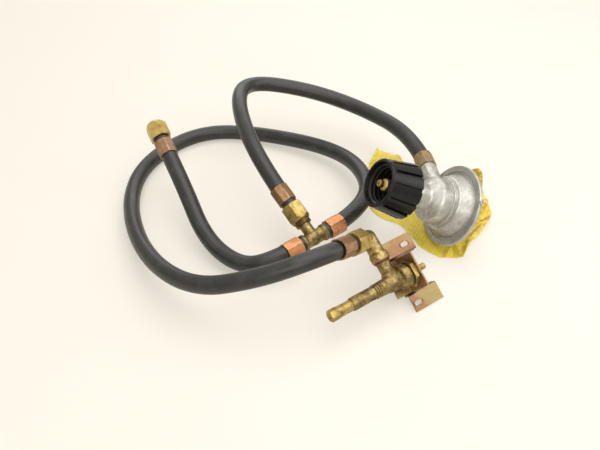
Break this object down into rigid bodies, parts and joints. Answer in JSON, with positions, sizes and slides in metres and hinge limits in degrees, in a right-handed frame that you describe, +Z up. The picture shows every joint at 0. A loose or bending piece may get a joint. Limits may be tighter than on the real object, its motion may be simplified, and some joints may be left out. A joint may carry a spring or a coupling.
{
  "type": "gas regulator hose set",
  "caption": "Low-pressure gas regulator with a coupling nut, rubber hoses joined by a brass tee, a burner valve on a bracket and a blank tag.",
  "frame": {"origin": "on the surface that the set lies on, under the middle of the bounding box of everything but the hoses and the free end", "axes": "+Z up, +Y away from the picture's viewer, +X to the viewer's right"},
  "size_m": [0.3729, 0.3196, 0.0968],
  "materials": {
    "cast_metal": "satin casting",
    "black_plastic": "glossy moulded",
    "brass": "machined",
    "dull_brass": "forged, dull",
    "copper_crimp": "plated crimp",
    "brown_crimp": "plated crimp",
    "hose_rubber": "satin",
    "yellow_zinc": "iridescent yellow zinc",
    "spring_steel": "drawn wire",
    "soft_rubber": "matt",
    "red_sealant": "hardened paste",
    "grey_plastic": "moulded",
    "tag_paper": "coated paper",
    "white_tie": "moulded"
  },
  "bodies": {
    "set": {"regulator_body": "cast_metal", "regulator_cover": "cast_metal", "vent_screen": "spring_steel", "diaphragm": "soft_rubber", "orifice_insert": "brass", "main_spring": "spring_steel", "adjusting_screw": "grey_plastic", "neck_cap": "grey_plastic", "inlet_nipple": "brass", "thrust_washer": "grey_plastic", "nipple_seal": "soft_rubber", "check_spring": "spring_steel", "spring_stop": "brass", "outlet_tail": "brass", "ferrule_regulator": "copper_crimp", "hose_regulator": "hose_rubber", "ferrule_branch": "copper_crimp", "stem_branch": "brass", "tee_body": "dull_brass", "ferrule_tee_right": "copper_crimp", "ferrule_tee_left": "copper_crimp", "hose_valve": "hose_rubber", "hose_branch": "hose_rubber", "ferrule_valve": "brown_crimp", "stem_valve": "brass", "ferrule_free_end": "copper_crimp", "stem_free_end": "brass", "elbow": "dull_brass", "thread_sealant": "red_sealant", "valve_body": "dull_brass", "stem_gland": "brass", "valve_lock_nut": "brass", "jet_holder": "dull_brass", "jet": "brass", "bracket": "yellow_zinc", "paper_tag": "tag_paper", "tag_tie": "white_tie"},
    "coupling": {"coupling_nut": "black_plastic"},
    "branch_nut": {"nut_branch": "brass"},
    "valve_nut": {"nut_valve": "brass"},
    "free_nut": {"nut_free_end": "brass"},
    "plug": {"valve_plug": "brass", "stem_spring": "spring_steel"},
    "stem": {"valve_stem": "brass"},
    "diaphragm_set": {"diaphragm_plate": "spring_steel", "poppet": "brass", "poppet_seat": "soft_rubber"},
    "check": {"check_poppet": "brass"}
  },
  "joints": [
    {"name": "coupling_spin", "type": "hinge", "parent": "set", "child": "coupling", "pos_m": [0.00924, -0.01387, 0.06416], "axis": [-0.8504, -0.2042, 0.4848], "continuous": true},
    {"name": "branch_nut_spin", "type": "hinge", "parent": "set", "child": "branch_nut", "pos_m": [-0.09075, -0.00829, 0.03881], "axis": [0.5667, -0.7105, -0.4171], "continuous": true},
    {"name": "valve_nut_spin", "type": "hinge", "parent": "set", "child": "valve_nut", "pos_m": [-0.03884, -0.07924, 0.05973], "axis": [0.6021, 0.7066, -0.3716], "continuous": true},
    {"name": "free_nut_spin", "type": "hinge", "parent": "set", "child": "free_nut", "pos_m": [-0.22296, 0.07681, 0.05916], "axis": [-0.4438, 0.8079, 0.3877], "continuous": true},
    {"name": "valve_turn", "type": "hinge", "parent": "set", "child": "plug", "pos_m": [0.00468, -0.08685, 0.0278], "axis": [0.8192, 0.5736, 0], "range_deg": [0, 120]},
    {"name": "stem_push", "type": "slide", "parent": "plug", "child": "stem", "axis": [-0.8192, -0.5736, 0], "range_m": [0, 0.002], "stiffness_N_per_m": 1500, "springref_m": -0.003, "deforming": ["stem_spring"]},
    {"name": "diaphragm_move", "type": "slide", "parent": "set", "child": "diaphragm_set", "axis": [-0.8504, -0.2042, 0.4848], "range_m": [-0.0009, 0], "stiffness_N_per_m": 2000, "springref_m": 0.003, "deforming": ["main_spring", "diaphragm"]},
    {"name": "check_push", "type": "slide", "parent": "set", "child": "check", "axis": [0.8504, 0.2042, -0.4848], "range_m": [0, 0.0015], "stiffness_N_per_m": 400, "springref_m": -0.003, "deforming": ["check_spring"]}
  ]
}
